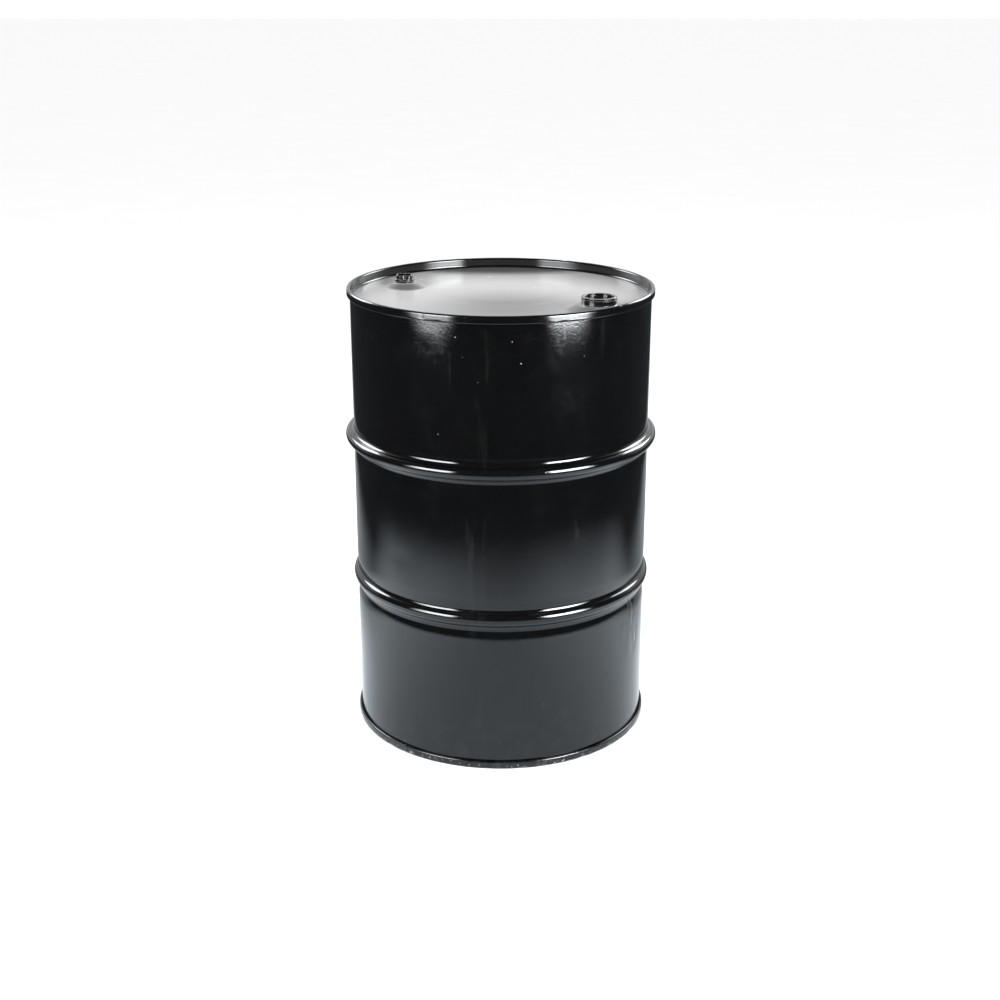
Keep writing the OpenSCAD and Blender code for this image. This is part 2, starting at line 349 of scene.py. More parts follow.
# Azimuth, height, half width, half height, depth and lean
dents = ((62, 262, 9, 34, 1.7, 0.12), (66, 196, 14, 26, 1.3, -0.1), (56, 222, 24, 44, 0.7, 0.0),
         (-41, 402, 26, 20, 0.35, 0.0), (18, 700, 40, 30, 0.30, 0.0), (158, 640, 30, 22, 0.5, 0.1),
         (-128, 160, 24, 36, 0.8, 0.0))


def face_line(z0, z1, step):
    return line((body_out, z0), (body_out, z1), max(1, round((z1 - z0) / step)))


def body_shell():
    mesh = Mesh()
    weld_turns = weld_angle + np.linspace(-6, 6, 13) / body_out
    theta = turned(384, weld_turns)
    low_hoop = hoop_run(*lower_hoop)
    high_hoop = hoop_run(*upper_hoop)
    bottom = drum_h - crest_z
    outer = chain(face_line(bottom, low_hoop[0, 1], 8), low_hoop,
                  face_line(low_hoop[-1, 1], high_hoop[0, 1], 14), high_hoop,
                  face_line(high_hoop[-1, 1], crest_z, 14))
    revolve(mesh, outer, theta, body_waves)
    plain = turned(160)
    inner = (outer - profile_normals(outer) * body_t)[::-3]
    revolve(mesh, chain([(body_in, crest_z)], inner, [(body_in, bottom)]), plain, body_waves)
    bend = crest_x - body_in
    turn = foot_x - rise_in
    outside = chain(line((body_out, crest_z - 1), (body_out, crest_z)),
                    arc(crest_x, crest_z, bend - body_t, 180, 0, 10),
                    line((fall_in, crest_z), (fall_in, foot_z)),
                    arc(foot_x, foot_z, turn - body_t, 0, -180, 8),
                    line((rise_out, foot_z), (rise_out, crest_z - 2)))
    inside = chain(line((rise_in, crest_z - 2), (rise_in, foot_z)),
                   arc(foot_x, foot_z, turn, -180, 0, 8),
                   line((fall_out, foot_z), (fall_out, crest_z)),
                   arc(crest_x, crest_z, bend, 0, 180, 10),
                   line((body_in, crest_z), (body_in, crest_z - 1)))
    lip = np.array([(rise_out, crest_z - 2), (rise_in, crest_z - 2)])
    for run in (outside, inside, lip):
        revolve(mesh, run, plain)
        revolve(mesh, flipped(run), plain)
    return mesh.build("drum_body", body_paint, "drum", "body_paint", "body_shell")


def flipped(points):
    """The same chain at the other end of the drum."""
    turned_over = points[::-1].copy()
    turned_over[:, 1] = drum_h - turned_over[:, 1]
    return turned_over


# ---------------------------------------------------------------- heads


def nicks(p):
    """Small knocks along a chime."""
    turn = np.arctan2(p[..., 1], p[..., 0])
    low = p[..., 2] < drum_h / 2
    z = np.where(low, p[..., 2], drum_h - p[..., 2])
    out = np.hypot(p[..., 0], p[..., 1])
    height = 0.06 * np.sin(9 * turn + 1) + 0.05 * np.sin(31 * turn) + 0.03 * np.sin(73 * turn + 0.5)
    for way, at_foot, half_w, depth in knocks:
        hit = depth * np.exp(-(turned_from(turn, azimuth(way)) * chime_r / half_w) ** 2)
        height = height - np.where(low == at_foot, hit, 0)
    return height * smooth((16 - z) / 6) * smooth((out - crest_x + 5) / 6)


# Azimuth, whether at the foot, half width and depth
knocks = ((33, True, 7, 1.2), (27, True, 4, 0.7), (-22, True, 6, 0.6), (-48, True, 9, 0.9),
          (7, True, 5, 0.5), (63, True, 8, 0.8), (-75, True, 6, 0.7), (120, True, 7, 0.8),
          (-140, True, 9, 0.9), (178, True, 6, 0.5), (153, False, 5, 0.8), (-28, False, 4, 0.4),
          (48, False, 5, 0.4), (-110, False, 5, 0.5))


def seam_runs():
    """The head's folds in a chime: the part that shows, and the part inside the seam."""
    half_flat = math.sqrt(crest_bend ** 2 - (crest_bend - chime_flat) ** 2)
    edge = math.degrees(math.asin((crest_bend - chime_flat) / crest_bend))
    shown = chain(arc(foot_x, foot_z, foot_bend, -180, 0, 16),
                  line((chime_r, foot_z), (chime_r, crest_z), 3),
                  arc(crest_x, crest_z, crest_bend, 0, edge, 9),
                  line((crest_x + half_flat, drum_h), (crest_x - half_flat, drum_h)),
                  arc(crest_x, crest_z, crest_bend, 180 - edge, 180, 9),
                  line((wall_in, crest_z), (wall_in, corner_z), 3))
    back = chain(line((wall_in + head_t, crest_z - 8), (wall_in + head_t, crest_z)),
                 arc(crest_x, crest_z, crest_bend - head_t, 180, 0, 10),
                 line((skin_in, crest_z), (skin_in, foot_z)),
                 arc(foot_x, foot_z, foot_bend - head_t, 0, -180, 8),
                 line((hook_out, foot_z), (hook_out, crest_z)),
                 arc(crest_x, crest_z, crest_x - hook_out, 180, 0, 8),
                 line((tip_in, crest_z), (tip_in, crest_z - 4)))
    end = np.array([(tip_in, crest_z - 4), (tip_out, crest_z - 4)])
    under = chain(line((tip_out, crest_z - 4), (tip_out, crest_z)),
                  arc(crest_x, crest_z, crest_x - hook_in, 0, 180, 8),
                  line((hook_in, crest_z), (hook_in, foot_z)))
    return shown, back, end, under


def corner_run():
    return arc(corner_x, corner_z, corner_r, 0, -90 + math.degrees(dish_end), 8)


def dish(r):
    over = np.clip(r - flat_r, 0, None)
    return flat_z + dish_r - np.sqrt(dish_r ** 2 - over ** 2)


def seat(d, top_r, slope_w):
    """Height of a raised seat at a distance d from its axis."""
    sunk = 6
    full_w = slope_w * (1 + sunk / seat_h)
    return flat_z - sunk + (seat_h + sunk) * soft_ramp((top_r + full_w - d) / full_w, 0.12)


def panel_height(x, y):
    r = np.hypot(x, y)
    z = dish(r)
    z = z + bulge * (1 - smooth((away(x, y, bulge_at) - bulge_r + bulge_w / 2) / bulge_w))
    z = z + 0.12 * np.sin(x / 47 + 0.4) * np.cos(y / 39) * smooth((270 - r) / 60)
    z = soft_max(z, seat(away(x, y, large_c), large_top_r, large_slope_w), 2.4)
    return soft_max(z, seat(away(x, y, small_c), small_top_r, small_slope_w), 2.4)


def panel_points():
    """Rings of points on the panel, closer round the seats, and the edges that bound it."""
    outer_count = 480
    spots = [np.array([(0.0, 0.0)])]
    edges = []

    def ring(cx, cy, r, count, phase=0.0):
        a = np.linspace(0, 2 * math.pi, count, endpoint=False) + phase
        return np.stack([cx + r * np.cos(a), cy + r * np.sin(a)], -1)

    def bound(start, count):
        return [(start + i, start + (i + 1) % count) for i in range(count)]

    seats = ((large_c, large_collar_r + fillet_r, large_top_r + large_slope_w + 7, 160),
             (small_c, small_collar_r + fillet_r, small_top_r + small_slope_w + 7, 128))
    start = 1
    for centre, inner, _, count in seats:
        spots.append(ring(*centre, inner, count))
        edges += bound(start, count)
        start += count
    spots.append(ring(0, 0, panel_r, outer_count))
    edges += bound(start, outer_count)
    fixed = start + outer_count
    for centre, inner, outer, count in seats:
        for i, r in enumerate(np.arange(inner + 1.2, outer, 1.3)):
            spots.append(ring(*centre, r, count, (i % 2) * math.pi / count))
    fine = np.concatenate(spots)
    keep = np.hypot(fine[:, 0], fine[:, 1]) < panel_r - 1
    keep[:fixed] = True
    coarse = np.concatenate([ring(0, 0, r, max(12, int(2 * math.pi * r / 5)), i * 0.7)
                             for i, r in enumerate(np.arange(6, panel_r - 2, 4.5))])
    for centre, _, outer, _ in seats:
        coarse = coarse[away(coarse[:, 0], coarse[:, 1], centre) >= outer + 2]
    return np.concatenate([fine[keep], coarse]), edges


def panel(mesh):
    """The head's sheet inside its corner, with the two seats raised in it."""
    points, edges = panel_points()
    flat = [Vector(p) for p in points]
    verts, _, faces, _, _, _ = delaunay_2d_cdt(flat, edges, [], 0, 1e-5)
    xy = np.array([tuple(v) for v in verts])
    tris = np.array([f for f in faces if len(f) == 3])
    mid = xy[tris].mean(axis=1)
    inside = np.hypot(mid[:, 0], mid[:, 1]) < panel_r
    for centre, collar_r in ((large_c, large_collar_r), (small_c, small_collar_r)):
        inside &= away(mid[:, 0], mid[:, 1], centre) > collar_r + fillet_r - 0.05
    tris = tris[inside]
    a, b, c = xy[tris[:, 0]], xy[tris[:, 1]], xy[tris[:, 2]]
    u, v = b - a, c - a
    flip = u[:, 0] * v[:, 1] - u[:, 1] * v[:, 0] < 0
    tris[flip] = tris[flip][:, ::-1]
    x, y = xy[:, 0], xy[:, 1]
    step = 0.05
    gx = (panel_height(x + step, y) - panel_height(x - step, y)) / (2 * step)
    gy = (panel_height(x, y + step) - panel_height(x, y - step)) / (2 * step)
    spots = np.stack([x, y, panel_height(x, y)], -1)
    up = unit(np.stack([-gx, -gy, np.ones_like(gx)], -1))
    mesh.add(spots, up, tris)
    mesh.add(spots - head_t * up, -up, tris[:, ::-1])


def collar(mesh, centre, collar_r, lip_z):
    """The sheet drawn up round a flange's neck."""
    theta = turned(160)
    top = lip_z - lip_t
    foot = collar_r + fillet_r
    if top - seat_z > fillet_r + 0.5:
        up = chain([(foot, seat_z)], arc(foot, seat_z + fillet_r, fillet_r, -90, -180, 6),
                   line((collar_r, seat_z + fillet_r), (collar_r, top - 0.3)))
    else:
        up = arc(foot, seat_z + fillet_r, fillet_r, -90, -125, 5)
    revolve(mesh, up[::-1], theta, centre=centre)
    bore = collar_r - head_t
    revolve(mesh, np.array([(collar_r, top), (bore, top)]), theta, centre=centre)
    down = chain(line((bore, top), (bore, seat_z - head_t + 1)), [(bore + 1, seat_z - head_t)],
                 [(foot, seat_z - head_t)])
    revolve(mesh, down, theta, centre=centre)


def top_head():
    mesh = Mesh()
    shown, back, end, under = seam_runs()
    theta = turned(480)
    revolve(mesh, chain(shown, corner_run()), theta, nicks)
    plain = turned(160)
    for run in (back, end, under):
        revolve(mesh, run, plain)
    revolve(mesh, sheet_back(), plain)
    panel(mesh)
    collar(mesh, large_c, large_collar_r, large_lip_z)
    collar(mesh, small_c, small_collar_r, small_lip_z)
    return mesh.build("drum_top", head_paint, "drum", "head_paint", "top_head")


def sheet_back():
    """The inner face of a head's corner and wall, from the panel's edge to the folds."""
    bend = arc(corner_x, corner_z, corner_r + head_t, -90 + math.degrees(dish_end), 0, 8)
    return chain(bend, line((wall_in + head_t, corner_z), (wall_in + head_t, crest_z - 8)))


def bottom_head():
    mesh = Mesh()
    shown, back, end, under = seam_runs()
    theta = turned(480)
    dish_run = arc(flat_r, dish_z, dish_r, -90 + math.degrees(dish_end), -90, 20)
    middle = line((flat_r, flat_z), (0.01, flat_z), 6)
    face = chain(shown, corner_run(), dish_run, middle)
    revolve(mesh, flipped(face), theta, nicks)
    plain = turned(160)
    for run in (back, end, under):
        revolve(mesh, flipped(run), plain)
    over = chain(line((0.01, flat_z - head_t), (flat_r, flat_z - head_t), 4),
                 arc(flat_r, dish_z, dish_r + head_t, -90, -90 + math.degrees(dish_end), 12),
                 sheet_back())
    revolve(mesh, flipped(over), plain)
    return mesh.build("drum_bottom", base_paint, "drum", "head_paint", "bottom_head")


# ---------------------------------------------------------------- flanges and plugs


def thread(mesh, centre, r_low, r_high, pitch, z0, z1, inward):
    """A right-hand helical thread between two heights. An outside one fades out at both ends."""
    count = 144
    theta = np.linspace(0, 2 * math.pi, count, endpoint=False)
    rows = np.arange(z0, z1 + pitch / 24, pitch / 12)
    z = np.broadcast_to(rows[:, None], (len(rows), count))
    turn = np.broadcast_to(theta[None, :], z.shape)
    wave = np.abs(np.mod((z - large_lip_z) / pitch - turn / (2 * math.pi), 1) * 2 - 1)
    ridge = np.clip(1.35 * wave - 0.175, 0, 1)
    ridge = smooth(ridge) * 0.5 + ridge * 0.5
    fade = smooth((z - z0) / pitch) * smooth((z1 - z) / pitch) if not inward else 1.0
    r = r_low + (r_high - r_low) * ridge * fade
    spots = np.stack([centre[0] + r * np.cos(turn), centre[1] + r * np.sin(turn), z], -1)
    loft(mesh, spots[::-1] if inward else spots)


def flange(name, node, centre, neck_r, lip_z, top_r, slope_w, thread_r, pitch):
    """A threaded neck with a lip at its top and an eight-sided plate at its foot."""
    mesh = Mesh()
    theta = turned(128)
    lip_r = neck_r + film + head_t + 0.4
    lip_low = lip_z - lip_t
    neck = chain(line((neck_r, plate_z), (neck_r, lip_low), 2))
    revolve(mesh, neck, theta, centre=centre)
    rim = chain(line((neck_r, lip_low), (lip_r - lip_t / 2, lip_low)),
                arc(lip_r - lip_t / 2, lip_low + lip_t / 2, lip_t / 2, -90, 90, 10),
                line((lip_r - lip_t / 2, lip_z), (thread_r[1] + 0.7, lip_z), 2),
                line((thread_r[1] + 0.7, lip_z), (thread_r[1] + 0.1, lip_z - 0.6)))
    revolve(mesh, rim, theta, centre=centre)
    thread(mesh, centre, thread_r[0], thread_r[1], pitch, plate_z - plate_t + 0.4, lip_z - 0.6, True)
    plate_r = top_r + 1.2 * slope_w / seat_h - 0.5
    corner = octagon(plate_r)
    flat_ring(mesh, centre, corner, neck_r, plate_z, True)
    flat_ring(mesh, centre, corner, thread_r[1] + 0.1, plate_z - plate_t, False)
    sides = [np.concatenate([corner, np.full((8, 1), z)], 1) for z in (plate_z - plate_t, plate_z)]
    eight_sides(mesh, np.stack(sides) + np.array([centre[0], centre[1], 0]))
    return mesh.build(name, fitting_paint, "drum", "fitting_paint", node)


def octagon(r):
    a = np.radians(22.5 + 45 * np.arange(8))
    return np.stack([r * np.cos(a), r * np.sin(a)], -1)


def flat_ring(mesh, centre, corner, inner_r, z, up):
    """A flat face between a bore and the eight corners of a plate."""
    count = 128
    a = np.linspace(0, 2 * math.pi, count, endpoint=False)
    inside = np.stack([inner_r * np.cos(a), inner_r * np.sin(a)], -1)
    half = math.pi / 8
    reach = np.hypot(*corner[0]) * math.cos(half) / np.cos(np.mod(a - half, 2 * half) - half)
    outside = np.stack([reach * np.cos(a), reach * np.sin(a)], -1)
    spots = np.stack([outside, inside] if up else [inside, outside])
    spots = np.concatenate([spots + np.array(centre), np.full(spots.shape[:2] + (1,), z)], -1)
    normals = np.broadcast_to(np.array([0, 0, 1.0 if up else -1.0]), spots.shape)
    mesh.grid(spots, normals.copy())


def eight_sides(mesh, wall):
    for i in range(8):
        side = wall[:, [i, (i + 1) % 8]]
        along = unit(side[0, 1] - side[0, 0])
        out = np.cross(along, np.array([0, 0, 1.0]))
        mesh.grid(side, np.broadcast_to(out, side.shape).copy(), wrap=False)


def plug_shank(mesh, centre, thread_r, pitch, low, rim_low, rim_r, rim_t):
    """The outside of a plug: its rim's edge and underside, a relief, its thread and its end."""
    theta = turned(144)
    relief = thread_r[0] - 0.1
    edge = chain(line((relief, rim_low), (rim_r - rim_t / 2, rim_low)),
                 arc(rim_r - rim_t / 2, rim_low + rim_t / 2, rim_t / 2, -90, 60, 12))
    revolve(mesh, edge, theta, centre=centre)
    shank = chain(line((relief, rim_low - seal_t - 0.6), (relief, rim_low)))
    revolve(mesh, shank, theta, centre=centre)
    thread(mesh, centre, relief, thread_r[1], pitch, low + 0.6, rim_low - seal_t - 0.6, False)
    end = chain(line((0.01, low), (relief - 0.6, low), 3),
                line((relief - 0.6, low), (relief, low + 0.6)))
    revolve(mesh, end, theta, centre=centre)


def large_plug():
    mesh = Mesh()
    theta = turned(240)
    rim_low = large_lip_z + seal_t
    rim_r, rim_t, cup_r, floor_t = 33.25, 3.0, 26.45, 2.0
    low = rim_low - 13
    plug_shank(mesh, large_c, large_plug_thread, large_pitch, low, rim_low, rim_r, rim_t)
    top = rim_low + rim_t
    # The top of the rim, then down the cup's wall to the tops of the lugs, and over them to its floor
    start = arc(rim_r - rim_t / 2, rim_low + rim_t / 2, rim_t / 2, 60, 90, 4)
    rim = chain(start, line((rim_r - rim_t / 2, top), (cup_r + 1.2, top), 2),
                arc(cup_r + 1.2, top - 1.2, 1.2, 90, 180, 7))
    floor_z = low + floor_t
    lug_top = top - 3
    off = np.mod(theta + math.pi / 6, math.pi / 3) - math.pi / 6
    reach = 28.05
    inside = np.clip(25 - (reach * np.sin(off)) ** 2, 0, None)
    # Six round lugs of 5 mm radius, on a circle just outside the cup's wall
    lug = np.where(inside > 0, reach * np.cos(off) - np.sqrt(inside), cup_r)
    lug = -soft_max(-lug, np.full_like(lug, -cup_r), 0.5)
    rows = [*rim, (cup_r, lug_top + 0.8), (cup_r, lug_top + 0.1)]
    for a in np.radians(np.linspace(0, 90, 6)):
        rows.append((np.minimum(cup_r, lug + 0.8 * (1 - math.sin(a))),
                     lug_top - 0.8 * (1 - math.cos(a))))
    for z in np.linspace(lug_top - 1.4, floor_z + 1.2, 5):
        rows.append((lug, z))
    for a in np.radians(np.linspace(0, 90, 6)):
        rows.append((lug - 1.2 * (1 - math.cos(a)), floor_z + 1.2 * (1 - math.sin(a))))
    for r in (20.0, 14.0, 8.0, 0.01):
        rows.append((r, floor_z - (0.4 * (1 - r / 20))))
    loft(mesh, ring_rows(rows, theta, large_c))
    return mesh.build("plug_large", fitting_paint, "large_plug", "fitting_paint", "large_plug")


def ring_rows(rows, theta, centre):
    """Rings of points from pairs of a radius, which may change round the turn, and a height."""
    return np.stack([np.stack([centre[0] + r * np.cos(theta), centre[1] + r * np.sin(theta),
                               np.full_like(theta, z)], -1) for r, z in rows])


def lobes(theta, lobe_r, offset):
    """The outline of four round lobes whose centres are at an offset from the axis."""
    off = np.mod(theta, math.pi / 2) - math.pi / 4
    return offset * np.cos(off) + np.sqrt(lobe_r ** 2 - (offset * np.sin(off)) ** 2)


def small_plug():
    mesh = Mesh()
    theta = turned(240)
    rim_low = small_lip_z + seal_t
    rim_r, rim_t, cup_r, floor_t, offset = 19.5, 3.0, 10.45, 2.0, 8.0
    low = rim_low - 9
    plug_shank(mesh, small_c, small_plug_thread, small_pitch, low, rim_low, rim_r, rim_t)
    rim_top = rim_low + rim_t
    top = rim_top + 7.3
    floor_z = low + floor_t
    outer = lobes(theta, 10.2, offset)
    inner = lobes(theta, 8.2, offset)
    rows = []
    round_r = rim_t / 2
    for a in np.radians(np.linspace(60, 90, 4)):
        rows.append((rim_r - round_r + round_r * math.cos(a), rim_low + round_r + round_r * math.sin(a)))
    for a in np.radians(np.linspace(0, 90, 5)):
        rows.append((np.minimum(outer + 0.7 * (1 - math.sin(a)), rim_r - round_r - 0.01),
                     rim_top + 0.7 * (1 - math.cos(a))))
    rows.append((outer, rim_top + 3.5))
    for a in np.radians(np.linspace(0, 90, 6)):
        rows.append((outer - 0.8 * (1 - math.cos(a)), top - 0.8 * (1 - math.sin(a))))
    for a in np.radians(np.linspace(90, 0, 6)):
        rows.append((inner + 0.8 * (1 - math.cos(a)), top - 0.8 * (1 - math.sin(a))))
    rows += [(inner, rim_top + 3.5), (inner, rim_top + 0.5)]
    for a in np.radians(np.linspace(30, 90, 3)):
        rows.append((inner - 0.5 * (1 - math.cos(a)), rim_top + 0.5 * (1 - math.sin(a))))
    rows += [(cup_r + 0.6, rim_top), (cup_r + 0.15, rim_top - 0.15), (cup_r, rim_top - 0.6)]
    rows += [(cup_r, z) for z in np.linspace(rim_top - 2, floor_z + 1, 4)]
    for a in np.radians(np.linspace(30, 90, 3)):
        rows.append((cup_r - (1 - math.cos(a)), floor_z + 1 - math.sin(a)))
    rows += [(r, floor_z) for r in (7.0, 4.0, 0.01)]
    loft(mesh, ring_rows(rows, theta, small_c))
    return mesh.build("plug_small", fitting_paint, "small_plug", "fitting_paint", "small_plug")


# ---------------------------------------------------------------- materials


class Nodes:
    """A short way to write a node tree. A value may be another node's socket or a plain number."""

    def __init__(self, tree):
        self.tree = tree

    def add(self, kind, inputs=None, **props):
        node = self.tree.nodes.new(kind)
        for key, value in props.items():
            setattr(node, key, value)
        for key, value in (inputs or {}).items():
            self.link(node.inputs[key], value)
        return node

    def link(self, socket, value):
        if isinstance(value, bpy.types.NodeSocket):
            self.tree.links.new(value, socket)
        else:
            socket.default_value = value

    def ramp(self, value, low, high, out_low=0.0, out_high=1.0, kind="SMOOTHSTEP"):
        return self.add("ShaderNodeMapRange", {"Value": value, "From Min": low, "From Max": high,
                                               "To Min": out_low, "To Max": out_high},
                        interpolation_type=kind).outputs["Result"]

    def math(self, op, a, b=0.0):
        return self.add("ShaderNodeMath", {0: a, 1: b}, operation=op).outputs[0]

    def times(self, a, b):
        return self.math("MULTIPLY", a, b)

    def plus(self, a, b):
        return self.math("ADD", a, b)

    def less(self, value):
        """1 minus a value."""
        return self.math("SUBTRACT", 1.0, value)

    def parts(self, vector):
        return self.add("ShaderNodeSeparateXYZ", {0: vector}).outputs


class Shade(Nodes):
    """The nodes of one piece's material, placed by the object's own coordinates."""

    def __init__(self, name):
        self.mat = bpy.data.materials.new(name)
        self.mat.use_nodes = True
        super().__init__(self.mat.node_tree)
        self.bsdf = self.tree.nodes["Principled BSDF"]
        self.place = self.add("ShaderNodeTexCoord").outputs["Object"]

    def scaled(self, by):
        return self.add("ShaderNodeVectorMath", {0: self.place, 1: by}, operation="MULTIPLY").outputs[0]

    def noise(self, scale, detail=3.0, rough=0.55, stretch=None):
        place = self.scaled(stretch) if stretch else self.place
        return self.add("ShaderNodeTexNoise", {"Vector": place, "Scale": scale, "Detail": detail,
                                               "Roughness": rough}).outputs["Fac"]

    def mix(self, fac, a, b):
        node = self.add("ShaderNodeMix", data_type="RGBA")
        for socket, value in zip((node.inputs["Factor"], node.inputs[6], node.inputs[7]), (fac, a, b)):
            self.link(socket, value)
        return node.outputs[2]

    def near(self, point, r_in, r_out, squash=(1, 1, 1)):
        """1 within r_in of a point given in millimetres, 0 beyond r_out."""
        target = tuple(c * MM * k for c, k in zip(point, squash))
        gap = self.add("ShaderNodeVectorMath", {0: self.scaled(squash), 1: target}, operation="DISTANCE")
        return self.ramp(gap.outputs["Value"], r_in * MM, r_out * MM, 1.0, 0.0)

    def most(self, *values):
        total = values[0]
        for value in values[1:]:
            total = self.math("MAXIMUM", total, value)
        return total

    def bump(self, height, strength, distance, before=None):
        inputs = {"Height": height, "Strength": strength, "Distance": distance}
        if before is not None:
            inputs["Normal"] = before
        return self.add("ShaderNodeBump", inputs).outputs["Normal"]

    def finish(self, **sockets):
        for key, value in sockets.items():
            self.link(self.bsdf.inputs[key.replace("_", " ")], value)
        return self.mat


def on_body(way, z, r=body_out):
    return r * math.cos(azimuth(way)), r * math.sin(azimuth(way)), z


BLACK = (0.0019, 0.0020, 0.0022, 1)
# Pale grey for dust, haze and scratches, and for the top head's film, where it is partly painted
# reflection.
DUST_AND_SHEEN_GREY = (0.29, 0.29, 0.28, 1)
CHIP = (0.55, 0.55, 0.56, 1)
STEEL = (0.34, 0.33, 0.32, 1)


def bare_steel_and_painted_light(s, tops, rubbed_and_lit):
    """How bare the paint is worn, partly as painted light: lighter steel on faces that look up, and
    within a radius of each given axis, where it paints the lit inner wall of a cup.
    """
    facing = s.parts(s.add("ShaderNodeNewGeometry").outputs["Normal"])["Z"]
    patchy = s.ramp(s.noise(260, 4, 0.6), 0.30, 0.62, 0.35, 1.0)
    # Lighter steel round each given axis paints the lit inner wall of the cup, partly as wear.
    worn_and_lit_rings = [s.times(s.near((*centre, 0), r - 0.5, r + 0.3, (1, 1, 0)), 0.75) for centre, r in rubbed_and_lit]
    # Lighter steel on faces that look up is partly wear, partly painted light from above.
    return s.times(s.most(s.times(s.ramp(facing, 0.35, 0.9), tops), *worn_and_lit_rings), patchy)


def dust_and_painted_sheen(s, height, cloud, amount):
    """Where the top head's level part is, and a dust film on it whose sheen is painted reflection of the
    backdrop, with less of it in the middle and at the back.
    """
    panel_edge = s.near((0, 0, 860), 280.0, 282.5)
    level = s.times(panel_edge, s.ramp(height, 0.8608, 0.8622, 1.0, 0.0))
    dust_sheen = s.times(level, s.ramp(cloud, 0.2, 0.8, 0.94 * amount, amount))
    # Less sheen in a round patch in the middle paints a darker reflection there.
    painted_dark_middle = s.near((10, -95, 860), 20.0, 255.0)
    dust_sheen = s.times(dust_sheen, s.less(s.times(painted_dark_middle, 0.85)))
    # The painted sheen fades out near the back wall, where the paint's own reflection of the wall shows.
    return level, s.times(dust_sheen, s.ramp(s.parts(s.place)["Y"], 0.215, 0.262, 1.0, 0.1))


def enamel(name, gloss, foot_dust=0.0, peel=0.10, marks=(), top_dust_and_sheen=0.0, bare_and_lit_tops=0.0, rubbed_and_lit=()):
    """Black enamel with orange peel, haze, specks, worn steel at the foot, and grime above it; on the
    top head a dust film with painted sheen, and on fittings worn steel that also paints light.
    """
    s = Shade(name)
    height = s.parts(s.place)["Z"]
    cloud = s.noise(22, 5, 0.62)
    fine = s.noise(140, 3, 0.6)
    haze = s.ramp(s.plus(s.times(cloud, 0.65), s.times(fine, 0.35)), 0.47, 0.68)
    rub = s.ramp(s.noise(30, 4, 0.7, (1, 1, 0.12)), 0.60, 0.74)
    scratch = s.ramp(s.noise(26, 2, 0.5, (1.0, 1.0, 24.0)), 0.715, 0.745)
    cells = s.add("ShaderNodeTexVoronoi", {"Vector": s.place, "Scale": 75.0, "Randomness": 1.0})
    shade_of_cell = s.add("ShaderNodeSeparateColor", {0: cells.outputs["Color"]}).outputs[0]
    pick = s.ramp(shade_of_cell, 0.965, 0.97)
    speck = s.times(s.ramp(cells.outputs["Distance"], 0.02, 0.08, 0.3, 0.0), pick)
    speck = s.most(speck, *[s.times(s.near(point, r * 0.4, r), 0.8) for point, r in marks])
    foot = s.ramp(height, 0.003, 0.013, 1.0, 0.0)
    wear_and_painted_light = s.times(foot, s.ramp(s.noise(130, 5, 0.75), 0.56, 0.64))
    if bare_and_lit_tops:
        # On the fittings this adds worn steel that is partly painted light.
        wear_and_painted_light = s.most(wear_and_painted_light, bare_steel_and_painted_light(s, bare_and_lit_tops, rubbed_and_lit))
    grime = s.ramp(height, 0.02, 0.19, 1.0, 0.0)
    grime = s.times(grime, s.ramp(s.noise(38, 5, 0.7), 0.42, 0.75))
    colour = s.mix(s.times(haze, 0.003), BLACK, DUST_AND_SHEEN_GREY)
    colour = s.mix(s.times(grime, foot_dust), colour, DUST_AND_SHEEN_GREY)
    colour = s.mix(s.times(s.most(scratch, rub), 0.012), colour, DUST_AND_SHEEN_GREY)
    colour = s.mix(speck, colour, CHIP)
    colour = s.mix(s.times(wear_and_painted_light, 0.8), colour, STEEL)
    rough = s.plus(gloss, s.times(haze, 0.05))
    rough = s.plus(rough, s.times(s.most(rub, scratch), 0.07))
    rough = s.plus(rough, s.times(grime, 0.18))
    rough = s.most(rough, s.times(s.most(speck, wear_and_painted_light), 0.55))
    dust_sheen = 0.0
    if top_dust_and_sheen:
        # The dust film's sheen, set by position across the panel, is painted reflection of the pale
        # backdrop.
        level, dust_sheen = dust_and_painted_sheen(s, height, cloud, top_dust_and_sheen)
        rough = s.plus(rough, s.times(dust_sheen, 0.20))
        # A pale tone over the level part: partly dust, partly painted reflection.
        colour = s.mix(s.times(level, 0.15 * top_dust_and_sheen), colour, DUST_AND_SHEEN_GREY)
    peel_bump = s.bump(s.noise(260, 2, 0.5), peel, 0.0004)
    wave_bump = s.bump(s.noise(9, 1, 0.4), 0.10, 0.002, peel_bump)
    mark_bump = s.bump(s.most(speck, wear_and_painted_light), 0.35, 0.0003, wave_bump)
    return s.finish(Base_Color=colour, Roughness=rough, Normal=mark_bump, Sheen_Weight=dust_sheen,
                    Sheen_Roughness=0.45)


def soft_material(name, colour, light, grain, roughness, bump=0.3):
    """A dull rubber or compound, mottled between two colours."""
    s = Shade(name)
    mottle = s.noise(grain, 4, 0.6)
    tone = s.mix(s.ramp(mottle, 0.3, 0.7), colour, light)
    rough = s.ramp(mottle, 0.2, 0.8, roughness - 0.08, roughness + 0.08, "LINEAR")
    return s.finish(Base_Color=tone, Roughness=rough,
                    Normal=s.bump(s.noise(grain * 4, 3, 0.6), bump, 0.0003))


body_marks = [(on_body(-16, 836), 1.0), (on_body(4, 830), 1.0), (on_body(7, 791), 1.1),
              (on_body(-54, 812), 0.8), (on_body(31, 795), 0.8), (on_body(-23, 657), 0.9),
              (on_body(-65, 612), 1.4), (on_body(12, 610, 294), 1.0)]
body_paint = enamel("body_enamel", 0.07, foot_dust=0.02, marks=body_marks)
head_paint = enamel("head_enamel", 0.09, peel=0.05, top_dust_and_sheen=0.57)
base_paint = enamel("base_enamel", 0.14, foot_dust=0.05)
